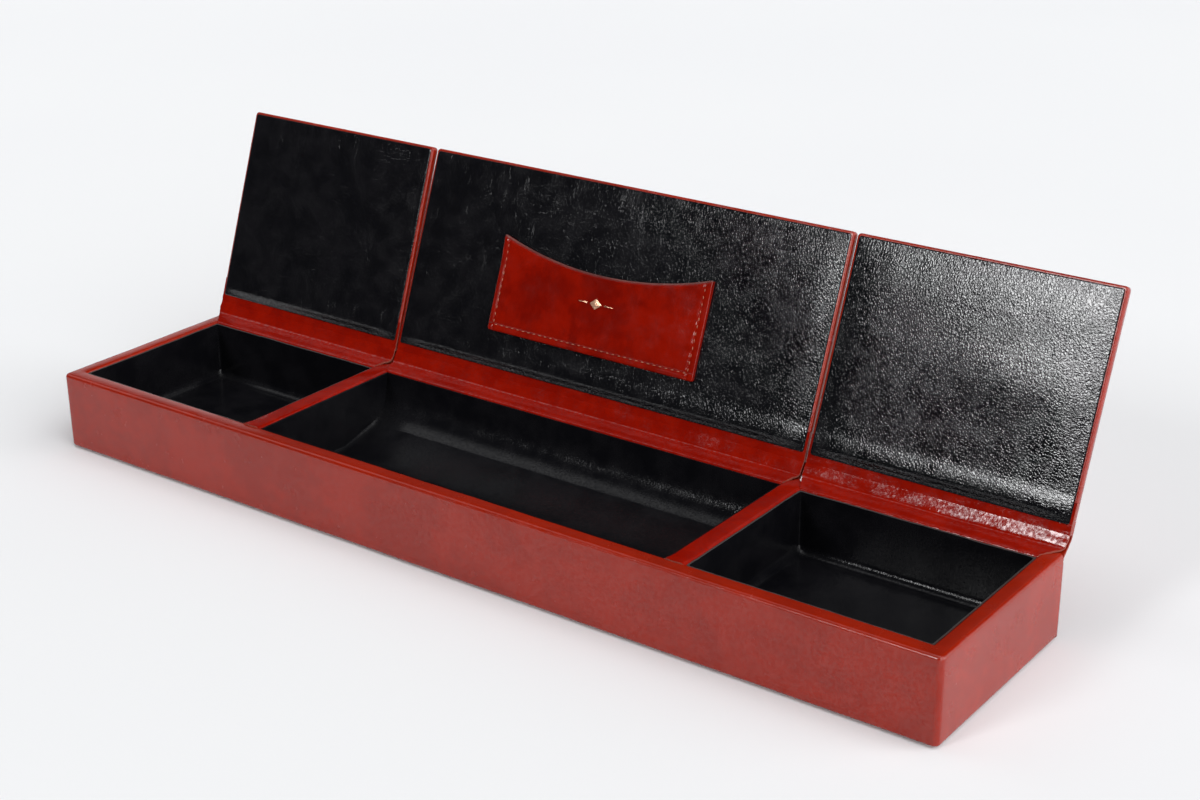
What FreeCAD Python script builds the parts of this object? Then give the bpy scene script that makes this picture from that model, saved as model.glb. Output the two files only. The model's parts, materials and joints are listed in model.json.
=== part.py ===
"""Leather desk box with three compartments, three hinged lids and a business-card pocket.

The box is a glued board case covered in leather. Its origin is the centre of the base, on the
table: +X runs along the length, -Y is the open front and +Z is up. The lids stand open and lean
back on their leather hinges, each by its own angle. All sizes are millimetres.
"""

import FreeCAD, Part
import math
import os

from FreeCAD import Vector

# Case
LENGTH = 420.0
DEPTH = 90.6
RIM_Z = 34.1
FELT = 0.8
LEATHER = 0.9
LINING = 0.7
BOTTOM_BOARD = 4.1
FRONT_BOARD = 5.3
BACK_BOARD = 5.7
END_BOARD = 5.2
FRONT_CORNER_RADIUS = 2.2
RIM_RADIUS = 1.6
BASE_RADIUS = 0.7
TURN_UNDER = 12.0
FELT_INSET = 2.5

# Dividers and side compartments
DIVIDER_X = 103.1
DIVIDER_WIDTH = 8.3
FLOOR_CARD = 1.7

# Trough of the centre compartment, seen from the end
TROUGH_RADIUS = 70.0
TROUGH_FLOOR_Z = 8.1
TROUGH_SLOPE = 22.5
TROUGH_CORNER_RADIUS = 14.0
TROUGH_TOP_Y = 37.2
TROUGH_FOOT_Y = 34.5
FORMER_TOP_Z = 26.0

# Lids, measured from the lining's hinge edge and down from the lining's face
PIVOT_Y = 47.3
PIVOT_Z = 35.7
PIVOT_BEHIND_FACE = 1.3
PIVOT_TO_LINING = 7.5
LEAN = {"left": 20.2, "centre": 21.3, "right": 21.8}
LID_SPLIT_X = 102.8
LID_GAP = 1.0
LID_TAIL = 4.3
LID_BOARD = 1.8
LID_TURN_IN = 12.0
LID_CORNER_RADIUS = 1.5
LID_EDGE_RADIUS = 0.8
LINING_INSET = 1.0
PADDING_START = 8.0
SPINE_OVERLAP = 1.5

# Leather hinges
HINGE_LEATHER = 0.8
CREASE_Y = 45.5
CREASE_Z = 35.2
CREASE_RADIUS = 1.8
SPINE_START_Z = 31.0
SPINE_BEND_Z = 32.2
SPINE_BEND_RADIUS = 1.5
SPINE_CORNER_RADIUS = 1.1
HINGE_GAP = 0.05

# Card pocket on the centre lid
POCKET_X = -3.5
POCKET_WIDTH = 103.0
POCKET_BOTTOM = 15.3
POCKET_TOP = 55.8
POCKET_SAG = 8.1
POCKET_LEATHER = 1.0
HEM = 0.8
HEM_WIDTH = 5.0
STITCH_INSET = 2.7
STITCH_PITCH = 2.9
STITCH_LENGTH = 2.1
STITCH_WIDTH = 0.55
STITCH_HEIGHT = 0.3
FOIL = 0.1
FOIL_S = 36.0

HALF_X = LENGTH / 2
HALF_Y = DEPTH / 2
BOARD_X = HALF_X - LEATHER
BOARD_Y = HALF_Y - LEATHER
BOARD_TOP = RIM_Z - LEATHER
BOTTOM_Z = FELT + LEATHER
INSIDE_Z = BOTTOM_Z + BOTTOM_BOARD
END_INNER = BOARD_X - END_BOARD
FRONT_INNER = -BOARD_Y + FRONT_BOARD
BACK_INNER = BOARD_Y - BACK_BOARD
END_SKIN = END_INNER - LEATHER
FRONT_SKIN = FRONT_INNER + LEATHER
BACK_SKIN = BACK_INNER - LEATHER
FLOOR_Z = INSIDE_Z + FLOOR_CARD + LINING
LID_THICKNESS = LINING + LEATHER + LID_BOARD + LEATHER
LID_LENGTH = PIVOT_Y - PIVOT_TO_LINING + HALF_Y
FACE_Z = PIVOT_Z - PIVOT_BEHIND_FACE
PAST = 1.0

LIDS = {
    "left": (-HALF_X, -LID_SPLIT_X - LID_GAP / 2),
    "centre": (-LID_SPLIT_X + LID_GAP / 2, LID_SPLIT_X - LID_GAP / 2),
    "right": (LID_SPLIT_X + LID_GAP / 2, HALF_X),
}
DIVIDER_EDGE = DIVIDER_WIDTH / 2
COMPARTMENTS = {
    "left": (-END_SKIN, -DIVIDER_X - DIVIDER_EDGE),
    "centre": (-DIVIDER_X + DIVIDER_EDGE, DIVIDER_X - DIVIDER_EDGE),
    "right": (DIVIDER_X + DIVIDER_EDGE, END_SKIN),
}


def block(x0, x1, y0, y1, z0, z1):
    """Return a box between two corners."""
    return Part.makeBox(x1 - x0, y1 - y0, z1 - z0, Vector(x0, y0, z0))


def prism(outline, x0, x1):
    """Extrude a closed outline of (y, z) edges along X."""
    return Part.Face(Part.Wire(outline)).extrude(Vector(x1 - x0, 0, 0)).translated(Vector(x0, 0, 0))


def edges_where(shape, test):
    """Pick the edges whose middle passes the test."""
    return [e for e in shape.Edges if test(e.valueAt((e.FirstParameter + e.LastParameter) / 2))]


def path_sides(points, radii, half):
    """Follow a bent sheet's middle line and return the lines and arcs of its two faces.

    points are (y, z), and radii are the middle line's bend radius at each inner point.
    """
    flat = [Vector(0, y, z) for y, z in points]
    runs = [(b - a).normalize() for a, b in zip(flat, flat[1:])]
    sides = {1: [], -1: []}
    start = flat[0]
    for i, radius in enumerate(radii, 1):
        before, after = runs[i - 1], runs[i]
        turn = before.getAngle(after)
        reach = radius * math.tan(turn / 2)
        way = 1 if before.cross(after).x > 0 else -1
        bend_in = flat[i] - before * reach
        bend_out = flat[i] + after * reach
        for side, edges in sides.items():
            left_in = Vector(0, -before.z, before.y) * side
            left_out = Vector(0, -after.z, after.y) * side
            bent = radius - way * side * half
            centre = bend_in + Vector(0, -before.z, before.y) * way * radius
            towards_corner = (flat[i] - centre).normalize()
            edges.append(Part.LineSegment(start + left_in * half, bend_in + left_in * half))
            edges.append(
                Part.Arc(
                    bend_in + left_in * half,
                    centre + towards_corner * bent,
                    bend_out + left_out * half,
                )
            )
        start = bend_out
    for side, edges in sides.items():
        left = Vector(0, -runs[-1].z, runs[-1].y) * side
        edges.append(Part.LineSegment(start + left * half, flat[-1] + left * half))
    return sides


def bent_sheet(points, radii, thickness, x0, x1):
    """Return a leather strip of one thickness that follows a bent line seen from the end."""
    sides = path_sides(points, radii, thickness / 2)
    left, right = sides[1], sides[-1]
    caps = [
        Part.LineSegment(left[0].StartPoint, right[0].StartPoint),
        Part.LineSegment(left[-1].EndPoint, right[-1].EndPoint),
    ]
    outline = [g.toShape() for g in left + right + caps]
    return prism(Part.__sortEdges__(outline), x0, x1)


def open_up(name, shape):
    """Swing a piece that was drawn on the closed lid to its open place."""
    return shape.rotated(Vector(0, PIVOT_Y, PIVOT_Z), Vector(1, 0, 0), -90 - LEAN[name])


def on_open_lid(name, s, depth):
    """Return (y, z) of a point s along the open lid and so deep behind its lining's face."""
    along = s + PIVOT_TO_LINING
    up = PIVOT_BEHIND_FACE - depth
    lean = math.radians(LEAN[name])
    return (
        PIVOT_Y + along * math.sin(lean) - up * math.cos(lean),
        PIVOT_Z + along * math.cos(lean) + up * math.sin(lean),
    )


def closed_y(s):
    """Return y of a point s along the closed lid."""
    return PIVOT_Y - PIVOT_TO_LINING - s


def lid_block(x0, x1, s0, s1, depth0, depth1):
    """Return a slab of the closed lid, between two places along it and two depths."""
    return block(x0, x1, closed_y(s1), closed_y(s0), FACE_Z + depth0, FACE_Z + depth1)


def hinge_outline(name, z0, z1):
    """Return the plan of one inner hinge: as wide as its compartment, then as its lid."""
    inner, outer = COMPARTMENTS[name], LIDS[name]
    tail_y = on_open_lid(name, -LID_TAIL, 0)[0]
    far_y = tail_y + 2 * PADDING_START
    near_y = BACK_SKIN - PAST
    plan = [
        (inner[0], near_y),
        (inner[1], near_y),
        (inner[1], BACK_INNER),
        (outer[1], tail_y),
        (outer[1], far_y),
        (outer[0], far_y),
        (outer[0], tail_y),
        (inner[0], BACK_INNER),
    ]
    corners = [Vector(x, y, z0) for x, y in plan]
    return Part.Face(Part.makePolygon(corners + corners[:1])).extrude(Vector(0, 0, z1 - z0))


# Case boards


def base_felt():
    reach_x, reach_y = HALF_X - FELT_INSET, HALF_Y - FELT_INSET
    felt = block(-reach_x, reach_x, -reach_y, reach_y, 0, FELT)
    return felt.makeFillet(FRONT_CORNER_RADIUS, edges_where(felt, lambda p: 0 < p.z < FELT))


def base_infill_card():
    reach_x, reach_y = HALF_X - TURN_UNDER, HALF_Y - TURN_UNDER
    return block(-reach_x, reach_x, -reach_y, reach_y, FELT, BOTTOM_Z)


def bottom_board():
    return block(-BOARD_X, BOARD_X, -BOARD_Y, BOARD_Y, BOTTOM_Z, INSIDE_Z)


def front_wall_board():
    return block(-BOARD_X, BOARD_X, -BOARD_Y, FRONT_INNER, INSIDE_Z, BOARD_TOP)


def back_wall_board():
    return block(-BOARD_X, BOARD_X, BACK_INNER, BOARD_Y, INSIDE_Z, BOARD_TOP)


def end_board(side):
    x0, x1 = sorted((side * END_INNER, side * BOARD_X))
    return block(x0, x1, FRONT_INNER, BACK_INNER, INSIDE_Z, BOARD_TOP)


def divider_board(side):
    half = DIVIDER_EDGE - LEATHER
    x = side * DIVIDER_X
    return block(x - half, x + half, FRONT_SKIN, BACK_INNER, INSIDE_Z, BOARD_TOP)


# Case leather


def body_wrap_leather():
    """Leather over the front and both ends, over their rims and down inside, and under the base."""
    skin = block(-HALF_X, HALF_X, -HALF_Y, BOARD_Y, FELT, RIM_Z)
    upright = edges_where(skin, lambda p: FELT < p.z < RIM_Z and p.y < 0)
    skin = skin.makeFillet(FRONT_CORNER_RADIUS, upright)

    def on_outside(p):
        return p.y < -HALF_Y + FRONT_CORNER_RADIUS or abs(p.x) > HALF_X - FRONT_CORNER_RADIUS

    rim = edges_where(skin, lambda p: p.z > RIM_Z - LEATHER / 2 and on_outside(p))
    skin = skin.makeFillet(RIM_RADIUS, rim)
    foot = edges_where(skin, lambda p: p.z < FELT + LEATHER / 2 and on_outside(p))
    skin = skin.makeFillet(BASE_RADIUS, foot)
    hollows = [
        bottom_board(),
        base_infill_card(),
        front_wall_board(),
        back_wall_board(),
        end_board(-1),
        end_board(1),
        block(-END_SKIN, END_SKIN, FRONT_SKIN, BACK_INNER, INSIDE_Z, RIM_Z + PAST),
        block(-END_SKIN, END_SKIN, BACK_INNER, BOARD_Y, BOARD_TOP, RIM_Z + PAST),
    ]
    hollows += [hinge_outline(name, BOARD_TOP, RIM_Z + PAST) for name in LIDS]
    return skin.cut(hollows).removeSplitter()


def back_wall_leather():
    return block(-HALF_X, HALF_X, BOARD_Y, HALF_Y, FELT, SPINE_START_Z)


def divider_leather(side):
    """Leather over the divider's top and down both faces, with a tongue on the back wall."""
    x = side * DIVIDER_X
    cover = block(x - DIVIDER_EDGE, x + DIVIDER_EDGE, FRONT_SKIN, BACK_INNER, INSIDE_Z, RIM_Z)
    tongue = block(x - DIVIDER_EDGE, x + DIVIDER_EDGE, BACK_INNER, BOARD_Y, BOARD_TOP, RIM_Z)
    hinges = [hinge_outline(name, BOARD_TOP, RIM_Z + PAST) for name in LIDS]
    return cover.fuse(tongue).cut([divider_board(side)] + hinges).removeSplitter()


# Compartment linings


def tray_inside(name):
    """Return x0, x1, y0, y1 of a side compartment between its leather faces."""
    x0, x1 = COMPARTMENTS[name]
    return x0, x1, FRONT_SKIN, BACK_SKIN


def wall_lining(name):
    x0, x1, y0, y1 = tray_inside(name)
    ring = block(x0, x1, y0, y1, INSIDE_Z, RIM_Z)
    room = block(x0 + LINING, x1 - LINING, y0 + LINING, y1 - LINING, INSIDE_Z, RIM_Z)
    return ring.cut(room)


def floor_layer(name, z0, z1):
    x0, x1, y0, y1 = tray_inside(name)
    return block(x0 + LINING, x1 - LINING, y0 + LINING, y1 - LINING, z0, z1)


def trough_path(below):
    """Return the trough's section as (y, z) points, set below the lining's face."""
    slope = math.radians(TROUGH_SLOPE)
    dip = TROUGH_FLOOR_Z - TROUGH_RADIUS * (1 / math.cos(slope) - 1)
    foot_z = dip + TROUGH_FOOT_Y * math.tan(slope)
    drop = below / math.cos(slope)
    out = below
    return [
        (-TROUGH_TOP_Y - out, RIM_Z),
        (-TROUGH_FOOT_Y - out, foot_z - drop + out * math.tan(slope)),
        (0, dip - drop),
        (TROUGH_FOOT_Y + out, foot_z - drop + out * math.tan(slope)),
        (TROUGH_TOP_Y + out, RIM_Z),
    ]


def trough_bends(below):
    corner = TROUGH_CORNER_RADIUS + below
    return [corner, TROUGH_RADIUS + below, corner]


def centre_ends():
    """Return x0, x1 of the centre compartment between its end linings."""
    x0, x1 = COMPARTMENTS["centre"]
    return x0 + LINING, x1 - LINING


def trough_lining():
    x0, x1 = centre_ends()
    middle = LINING / 2
    return bent_sheet(trough_path(middle), trough_bends(middle), LINING, x0, x1)


def trough_former():
    """Shaped core that carries the trough's round floor."""
    x0, x1 = centre_ends()
    core = block(x0, x1, FRONT_SKIN, BACK_SKIN, INSIDE_Z, FORMER_TOP_Z)
    sides = path_sides(trough_path(LINING), trough_bends(LINING), 0)
    hollow = [g.toShape() for g in sides[1]]
    hollow.append(Part.LineSegment(sides[1][0].StartPoint, sides[1][-1].EndPoint).toShape())
    return core.cut(prism(Part.__sortEdges__(hollow), x0 - PAST, x1 + PAST))


def trough_end_lining(side):
    x = COMPARTMENTS["centre"][1]
    x0, x1 = sorted((side * (x - LINING), side * x))
    return block(x0, x1, FRONT_SKIN, BACK_SKIN, INSIDE_Z, RIM_Z)


# Leather hinges


def inner_hinge(name):
    """Red strip from inside the back wall, over its rim and up under the lid's lining."""
    middle = LINING + LEATHER / 2
    wall_y = BACK_INNER - HINGE_LEATHER / 2
    points = [
        (wall_y, INSIDE_Z),
        (wall_y, BOARD_TOP + HINGE_LEATHER / 2),
        (CREASE_Y, CREASE_Z),
        on_open_lid(name, -LID_TAIL - 0.5, middle),
        on_open_lid(name, PADDING_START - HINGE_GAP, middle),
    ]
    radii = [HINGE_LEATHER / 2 + 0.1, CREASE_RADIUS, CREASE_RADIUS]
    x0, x1 = LIDS[name]
    strip = bent_sheet(points, radii, HINGE_LEATHER, x0, x1)
    return strip.common(hinge_outline(name, 0, LID_LENGTH))


def outer_hinge(name):
    """Spine strip from the back wall round the lid's tail and onto its back."""
    middle = LID_THICKNESS - LEATHER / 2
    points = [
        (HALF_Y - LEATHER / 2, SPINE_START_Z),
        (HALF_Y - LEATHER / 2, SPINE_BEND_Z),
        on_open_lid(name, -LID_TAIL - HINGE_LEATHER, middle),
        on_open_lid(name, SPINE_OVERLAP - HINGE_GAP, middle),
    ]
    x0, x1 = LIDS[name]
    return bent_sheet(points, [SPINE_BEND_RADIUS, SPINE_CORNER_RADIUS], HINGE_LEATHER, x0, x1)


# Lids, drawn closed and then opened


def lid_board(name):
    x0, x1 = LIDS[name]
    board_face = LINING + LEATHER
    return lid_block(
        x0 + LEATHER, x1 - LEATHER, -LID_TAIL, LID_LENGTH - LEATHER, board_face, board_face + LID_BOARD
    )


def lid_window(name):
    """Room inside the turned-in edges, filled by the padding."""
    x0, x1 = LIDS[name]
    top = LID_LENGTH - LID_TURN_IN
    return lid_block(x0 + LID_TURN_IN, x1 - LID_TURN_IN, PADDING_START, top, LINING, LINING + LEATHER)


def lid_cover(name):
    """Leather over the lid's back, round its edges and turned in under the lining."""
    x0, x1 = LIDS[name]
    cover = lid_block(x0, x1, -LID_TAIL, LID_LENGTH, LINING, LID_THICKNESS)
    front_y = closed_y(LID_LENGTH)
    corners = edges_where(cover, lambda p: p.y == front_y and p.x in (x0, x1))
    cover = cover.makeFillet(LID_CORNER_RADIUS, corners)

    def on_back(p):
        past_tail = p.y < closed_y(-LID_TAIL) - LID_CORNER_RADIUS
        at_edge = min(p.x - x0, x1 - p.x) < LID_CORNER_RADIUS or p.y < front_y + LID_CORNER_RADIUS
        return p.z > FACE_Z + LID_THICKNESS - LEATHER / 2 and past_tail and at_edge

    cover = cover.makeFillet(LID_EDGE_RADIUS, edges_where(cover, on_back))
    under_strip = lid_block(x0, x1, -LID_TAIL, PADDING_START, LINING, LINING + LEATHER)
    spine = lid_block(x0, x1, -LID_TAIL, SPINE_OVERLAP, LID_THICKNESS - LEATHER, LID_THICKNESS)
    return cover.cut([lid_board(name), lid_window(name), under_strip, spine]).removeSplitter()


def lid_lining(name):
    x0, x1 = LIDS[name]
    sheet = lid_block(x0 + LINING_INSET, x1 - LINING_INSET, 0, LID_LENGTH - LINING_INSET, 0, LINING)
    upright = edges_where(sheet, lambda p: FACE_Z < p.z < FACE_Z + LINING)
    return sheet.makeFillet(LINING_INSET, upright)


# Card pocket, drawn on the closed centre lid


def pocket_outline(depth0, depth1):
    """Pocket leather between two depths, with a hollowed top edge."""
    x0, x1 = POCKET_X - POCKET_WIDTH / 2, POCKET_X + POCKET_WIDTH / 2
    bottom, top = closed_y(POCKET_BOTTOM), closed_y(POCKET_TOP)
    z = FACE_Z + depth0
    mouth = Part.Arc(
        Vector(x0, top, z), Vector(POCKET_X, closed_y(POCKET_TOP - POCKET_SAG), z), Vector(x1, top, z)
    )
    sides = [
        Part.LineSegment(Vector(x1, top, z), Vector(x1, bottom, z)),
        Part.LineSegment(Vector(x1, bottom, z), Vector(x0, bottom, z)),
        Part.LineSegment(Vector(x0, bottom, z), Vector(x0, top, z)),
    ]
    wire = Part.Wire([g.toShape() for g in [mouth] + sides])
    return Part.Face(wire).extrude(Vector(0, 0, depth1 - depth0))


def pocket_hem():
    """Folded edge under the pocket's sides and bottom, which leaves the slot for the cards."""
    x0, x1 = POCKET_X - POCKET_WIDTH / 2, POCKET_X + POCKET_WIDTH / 2
    slot = lid_block(
        x0 + HEM_WIDTH, x1 - HEM_WIDTH, POCKET_BOTTOM + HEM_WIDTH, LID_LENGTH, -HEM - PAST, PAST
    )
    return pocket_outline(-HEM, 0).cut(slot)


def pocket_panel():
    return pocket_outline(-HEM - POCKET_LEATHER, -HEM)


def stitch(x, s, along_x):
    """One stitch lying on the pocket's face."""
    half_x = (STITCH_LENGTH if along_x else STITCH_WIDTH) / 2
    half_s = (STITCH_WIDTH if along_x else STITCH_LENGTH) / 2
    face = -HEM - POCKET_LEATHER
    return lid_block(x - half_x, x + half_x, s - half_s, s + half_s, face - STITCH_HEIGHT, face)


def pocket_stitching():
    """Stitches down both sides and along the bottom of the pocket."""
    left = POCKET_X - POCKET_WIDTH / 2 + STITCH_INSET
    right = POCKET_X + POCKET_WIDTH / 2 - STITCH_INSET
    low = POCKET_BOTTOM + STITCH_INSET
    across = round((right - left) / STITCH_PITCH)
    upward = math.floor((POCKET_TOP - low - STITCH_INSET) / STITCH_PITCH)
    step = (right - left) / across
    stitches = [stitch(left + step * (i + 0.5), low, True) for i in range(across)]
    for x in (left, right):
        stitches += [stitch(x, low + STITCH_PITCH * (i + 0.5), False) for i in range(upward)]
    return Part.makeCompound(stitches)


def foil_ornament():
    """Foil-stamped lozenge between two short rules."""
    face = -HEM - POCKET_LEATHER
    lozenge_x, lozenge_s, rule, gap, rule_width = 3.0, 2.2, 4.5, 1.2, 0.5
    centre_y = closed_y(FOIL_S)
    z = FACE_Z + face - FOIL
    tips = [(lozenge_x, 0), (0, lozenge_s), (-lozenge_x, 0), (0, -lozenge_s)]
    corners = [Vector(POCKET_X + x, centre_y + y, z) for x, y in tips]
    pieces = [Part.Face(Part.makePolygon(corners + corners[:1])).extrude(Vector(0, 0, FOIL))]
    for side in (-1, 1):
        near = lozenge_x + gap
        x0, x1 = sorted((POCKET_X + side * near, POCKET_X + side * (near + rule)))
        pieces.append(
            lid_block(x0, x1, FOIL_S - rule_width / 2, FOIL_S + rule_width / 2, face - FOIL, face)
        )
    return Part.makeCompound(pieces)


def all_pieces():
    """Return every piece of the box by name."""
    pieces = {
        "base_felt": base_felt(),
        "base_infill_card": base_infill_card(),
        "bottom_board": bottom_board(),
        "front_wall_board": front_wall_board(),
        "back_wall_board": back_wall_board(),
        "body_wrap_leather": body_wrap_leather(),
        "back_wall_leather": back_wall_leather(),
        "trough_former": trough_former(),
        "trough_lining": trough_lining(),
    }
    for name, side in (("left", -1), ("right", 1)):
        pieces[f"{name}_end_board"] = end_board(side)
        pieces[f"{name}_divider_board"] = divider_board(side)
        pieces[f"{name}_divider_leather"] = divider_leather(side)
        pieces[f"{name}_wall_lining"] = wall_lining(name)
        pieces[f"{name}_floor_card"] = floor_layer(name, INSIDE_Z, FLOOR_Z - LINING)
        pieces[f"{name}_floor_lining"] = floor_layer(name, FLOOR_Z - LINING, FLOOR_Z)
        pieces[f"trough_{name}_end_lining"] = trough_end_lining(side)
    for name in LIDS:
        pieces[f"{name}_inner_hinge"] = inner_hinge(name)
        pieces[f"{name}_outer_hinge"] = outer_hinge(name)
        pieces[f"{name}_lid_board"] = open_up(name, lid_board(name))
        pieces[f"{name}_lid_padding"] = open_up(name, lid_window(name))
        pieces[f"{name}_lid_cover"] = open_up(name, lid_cover(name))
        pieces[f"{name}_lid_lining"] = open_up(name, lid_lining(name))
    pieces["card_pocket_hem"] = open_up("centre", pocket_hem())
    pieces["card_pocket_panel"] = open_up("centre", pocket_panel())
    pieces["card_pocket_stitching"] = open_up("centre", pocket_stitching())
    pieces["card_pocket_foil_ornament"] = open_up("centre", foil_ornament())
    return pieces


os.makedirs("parts", exist_ok=True)
for piece_name, shape in all_pieces().items():
    if not shape.isValid() or not shape.Solids:
        print("not a valid solid:", piece_name)
    shape.exportStep(f"parts/{piece_name}.step")
    print(f"{piece_name}: {len(shape.Solids)} solids, {shape.Volume:.1f} mm3")
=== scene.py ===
"""Looks of a leather desk box: its leather, linings, stitching, floor, light and camera.

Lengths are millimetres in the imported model's frame, and make_mesh() turns them into metres. The box
stands on z = 0 with its open front towards -Y. A point on a lid is (x, s, depth): s runs up the
open lid from its lining's lower edge, and depth goes back from its lining's face.
"""

import json
import math

import bmesh
import bpy
import numpy as np
from mathutils import Matrix, Vector, noise


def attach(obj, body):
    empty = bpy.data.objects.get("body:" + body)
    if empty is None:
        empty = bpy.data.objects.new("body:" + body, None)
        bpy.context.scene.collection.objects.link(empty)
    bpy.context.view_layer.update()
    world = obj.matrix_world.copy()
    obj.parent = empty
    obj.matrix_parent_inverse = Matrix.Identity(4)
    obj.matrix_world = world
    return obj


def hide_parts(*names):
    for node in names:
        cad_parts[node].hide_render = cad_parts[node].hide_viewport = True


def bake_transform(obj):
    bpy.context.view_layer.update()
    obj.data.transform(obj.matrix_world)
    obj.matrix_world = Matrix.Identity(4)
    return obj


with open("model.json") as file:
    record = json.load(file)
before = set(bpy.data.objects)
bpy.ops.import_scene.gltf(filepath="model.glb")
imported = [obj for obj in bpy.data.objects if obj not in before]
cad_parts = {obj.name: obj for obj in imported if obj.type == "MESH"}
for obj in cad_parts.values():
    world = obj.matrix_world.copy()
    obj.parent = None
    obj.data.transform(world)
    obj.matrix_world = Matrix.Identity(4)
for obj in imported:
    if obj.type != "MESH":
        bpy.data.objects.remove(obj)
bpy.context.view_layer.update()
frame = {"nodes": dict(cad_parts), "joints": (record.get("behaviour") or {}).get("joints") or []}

MM = 0.001

# Case
HALF_X = 210.0
HALF_Y = 45.3
RIM_Z = 34.1
FELT = 0.8
LEATHER = 0.9
LINING = 0.7
INSIDE_Z = 5.8
FLOOR_Z = 8.2
FRONT_WALL = 7.1
END_WALL = 7.0
BACK_INNER = 38.7
BOARD_Y = HALF_Y - LEATHER
FRONT_SKIN = FRONT_WALL - HALF_Y
BACK_SKIN = BACK_INNER - LEATHER
CORNER_RADIUS = 2.2
TURN_UNDER = 12.0
FELT_INSET = 2.5
LINING_TOP = 33.4
DIVIDER_EDGE = 4.15
DIVIDER_X = 103.1
CAP_FRONT_Y = -39.7
CAP_RISE = 0.55
CAP_CRUMPLE = 0.22
COVE = 3.6

# Trough
TROUGH_RADIUS = 70.0
TROUGH_FLOOR_Z = 8.1
TROUGH_SLOPE = math.radians(22.5)
TROUGH_CORNER = 14.0
TROUGH_TOP_Y = 37.2
TROUGH_FOOT_Y = 34.5
END_TURN_UP = 0.9
END_TURN_LENGTH = 2.4
END_PUCKERS = 0.16

# Lids
PIVOT_TO_LINING = 7.5
PIVOT_BEHIND_FACE = 1.3
LID_LENGTH = 85.1
LID_TAIL = 4.3
LID_THICKNESS = 4.3
LID_TURN_IN = 12.0
LID_BOARD_DEPTH = (1.6, 3.4)
LINING_INSET = 1.0
STRIP_END_S = 7.95
SPINE_END_S = 1.45
HINGE_LEATHER = 0.8
HINGE_DEPTH = 1.15
GUTTER_CORNER = (45.75, 34.7)
RIM_LAP = 0.45
RIM_LAP_RISE = 0.42
END_CRUMPLE = 0.42
SEEDS = {"left": 1.0, "centre": 2.0, "right": 3.0}

# Two points of each hinge strip's section, for where it would start and stop bending; finish_piece does
# not use them
INNER_FOLD = ((0, 43.5, 33.8), (0, 48.3, 38.7))
OUTER_FOLD = ((0, 44.9, 32.2), (0, 50.3, 37.5))

# Lid linings. The slack swell is on the right lid, measured from its outer end.
LINING_EDGE_DEPTH = 0.38
LINING_RIDGE = 0.20
SLACK_FROM_END = 34
SLACK_S = 44
SLACK_SIZE = (24, 11)
SLACK_HEIGHT = 0.3

# Card pocket
POCKET_X = (-55.0, 48.0)
POCKET_S = (15.3, 55.8)
POCKET_SAG = 8.1
HEM = 0.8
HEM_WIDTH = 5.0
POCKET_FACE = -1.8
STITCH_INSET = 2.7
STITCH_PITCH = 2.9
STITCH_SIZE = (1.35, 0.34, 0.14)
STITCH_TILT = 0.09
NEAR_STITCHES = (-0.9, -0.5, -0.25, 0, 0.25, 0.5, 0.9)
BURNISHED = 0.75

# Relief of the pocket's face. A groove has a depth and a width, and the crease is also this far
# below the top edge.
SEAM_GROOVE = (0.2, 0.5)
TOP_CREASE = (0.10, 0.3)
TOP_CREASE_BELOW = 1.4
PUFF = 0.16
SEAM_FOLDS = 0.22
SOFT_WAVES = 0.03

# The pocket's mouth stands off the lid over this length, by this much at its corners and middle
MOUTH_LENGTH = 14
CORNER_STAND_OFF = (0.7, 0.35)
MIDDLE_STAND_OFF = 0.7
FACE_RISE_AT_FOIL = 0.42
FOIL_X = -3.5
FOIL_S = 36.0

LIDS = {
    "left": (-HALF_X, -103.3),
    "centre": (-102.3, 102.3),
    "right": (103.3, HALF_X),
}
COMPARTMENTS = {
    "left": (END_WALL - HALF_X, -107.25),
    "centre": (-98.95, 98.95),
    "right": (107.25, HALF_X - END_WALL),
}
HINGES = {joint["child"].replace("_lid", ""): joint for joint in frame["joints"]}


# Points and paths


def wobble(point, size, seed=0.0):
    """Smooth noise of about -1 to 1 whose bumps are about this many millimetres wide."""
    return noise.noise(Vector(point) / size + Vector((seed, 0.7 * seed, 0.3 * seed)))


def smooth_step(low, high, value):
    """0 up to low, 1 from high on, and a smooth ramp between them."""
    t = np.clip((value - low) / (high - low), 0, 1)
    return t * t * (3 - 2 * t)


def on_lid(name, points):
    """Turn (x, s, depth) on an open lid into places in the box's frame."""
    joint = HINGES[name]
    lean = math.radians(joint["range_deg"][1] - 90)
    pivot_y, pivot_z = joint["pos_m"][1] / MM, joint["pos_m"][2] / MM
    x, s, depth = np.asarray(points, float).T
    along = s + PIVOT_TO_LINING
    up = PIVOT_BEHIND_FACE - depth
    y = pivot_y + along * math.sin(lean) - up * math.cos(lean)
    z = pivot_z + along * math.cos(lean) + up * math.sin(lean)
    return np.stack([x, y, z], axis=1)


def lid_point(name, s, depth):
    """Return (y, z) of one point of an open lid's section."""
    return tuple(on_lid(name, [(0, s, depth)])[0][1:])


def stations(low, high, step, edge=0.0, extra=()):
    """Places from low to high about a step apart, closer together near both ends."""
    places = set(np.linspace(low, high, max(2, round((high - low) / step) + 1)))
    for share in (0.12, 0.3, 0.55, 0.8, 1.0, 1.5):
        if edge:
            places.update((low + edge * share, high - edge * share))
    places.update(extra)
    ordered = sorted(p for p in places if low <= p <= high)
    kept = [ordered[0]]
    for place in ordered[1:-1]:
        if place - kept[-1] > 0.05 and high - place > 0.05:
            kept.append(place)
    return np.array(kept + [ordered[-1]])


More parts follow.
